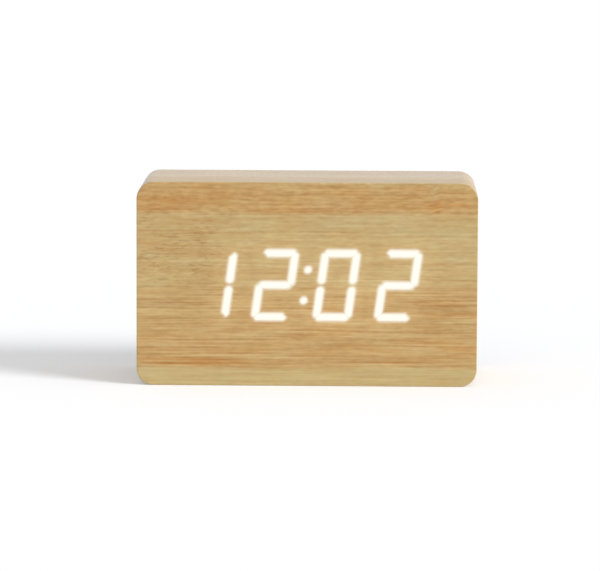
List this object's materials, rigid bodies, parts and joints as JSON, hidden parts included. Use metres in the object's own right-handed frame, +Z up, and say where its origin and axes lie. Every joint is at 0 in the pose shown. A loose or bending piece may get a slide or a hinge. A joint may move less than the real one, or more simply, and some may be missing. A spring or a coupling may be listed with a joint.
{
  "type": "alarm clock",
  "caption": "Small wood-look brick alarm clock: white segment digits shine through the front, buttons, power socket and battery door at the back.",
  "frame": {"origin": "middle of the base, on the surface that the clock stands on", "axes": "+Z up, +Y towards the rear, +X to the right as seen from the front"},
  "size_m": [0.1, 0.04, 0.06],
  "materials": {
    "wood_sheet": "printed wood-grain film, fine grain, satin",
    "lit_sheet": "wood-grain film lit through from behind, white glow",
    "fibreboard": "raw fibreboard, sawn",
    "black_plastic": "moulded, fine spark texture",
    "button_plastic": "moulded, smooth",
    "white_plastic": "moulded, smooth",
    "chip_plastic": "moulded epoxy",
    "led_chip": "phosphor resin",
    "guide_resin": "cast diffusing resin",
    "circuit_board": "green solder mask",
    "screw_steel": "zinc plated",
    "contact_steel": "nickel plated",
    "capacitor_can": "shrunk sleeve",
    "cell_jacket": "printed sleeve, plain bands",
    "red_wire": "insulated wire",
    "black_wire": "insulated wire",
    "grey_wire": "flat ribbon"
  },
  "bodies": {
    "clock": {"case_wrap": "wood_sheet", "front_sheet": "wood_sheet", "lit_windows": "lit_sheet", "case_core": "fibreboard", "screw_blocks": "fibreboard", "display_housing": "black_plastic", "hour_tens_guides": "guide_resin", "hour_units_guides": "guide_resin", "minute_tens_guides": "guide_resin", "minute_units_guides": "guide_resin", "colon_guides": "guide_resin", "display_leds": "led_chip", "display_board": "circuit_board", "display_spacers": "white_plastic", "display_screws": "screw_steel", "display_driver": "chip_plastic", "display_resistors": "chip_plastic", "display_connector": "white_plastic", "main_connector": "white_plastic", "ribbon_cable": "grey_wire", "rear_cover": "black_plastic", "cover_screws": "screw_steel", "cell_1": "cell_jacket", "cell_2": "cell_jacket", "cell_3": "cell_jacket", "battery_contacts": "contact_steel", "battery_springs": "contact_steel", "positive_lead": "red_wire", "negative_lead": "black_wire", "main_board": "circuit_board", "main_board_screws": "screw_steel", "controller_chip": "chip_plastic", "main_resistors": "chip_plastic", "clock_crystal": "contact_steel", "smoothing_capacitor": "capacitor_can", "buzzer": "chip_plastic", "microphone": "contact_steel", "temperature_sensor": "chip_plastic", "socket_shell": "contact_steel", "socket_insert": "chip_plastic", "up_switch": "chip_plastic", "set_switch": "chip_plastic", "down_switch": "chip_plastic"},
    "up_button": {"up_button": "button_plastic", "up_plunger": "white_plastic"},
    "set_button": {"set_button": "button_plastic", "set_plunger": "white_plastic"},
    "down_button": {"down_button": "button_plastic", "down_plunger": "white_plastic"},
    "battery_door": {"battery_door": "black_plastic"}
  },
  "joints": [
    {"name": "up_press", "type": "slide", "parent": "clock", "child": "up_button", "axis": [0, -1, 0], "range_m": [0, 0.0004], "stiffness_N_per_m": 3000, "springref_m": -0.0002},
    {"name": "set_press", "type": "slide", "parent": "clock", "child": "set_button", "axis": [0, -1, 0], "range_m": [0, 0.0004], "stiffness_N_per_m": 3000, "springref_m": -0.0002},
    {"name": "down_press", "type": "slide", "parent": "clock", "child": "down_button", "axis": [0, -1, 0], "range_m": [0, 0.0004], "stiffness_N_per_m": 3000, "springref_m": -0.0002},
    {"name": "battery_door_hinge", "type": "hinge", "parent": "clock", "child": "battery_door", "pos_m": [0.00675, 0.0181, 0.03], "axis": [0, 0, -1], "range_deg": [0, 95]}
  ]
}
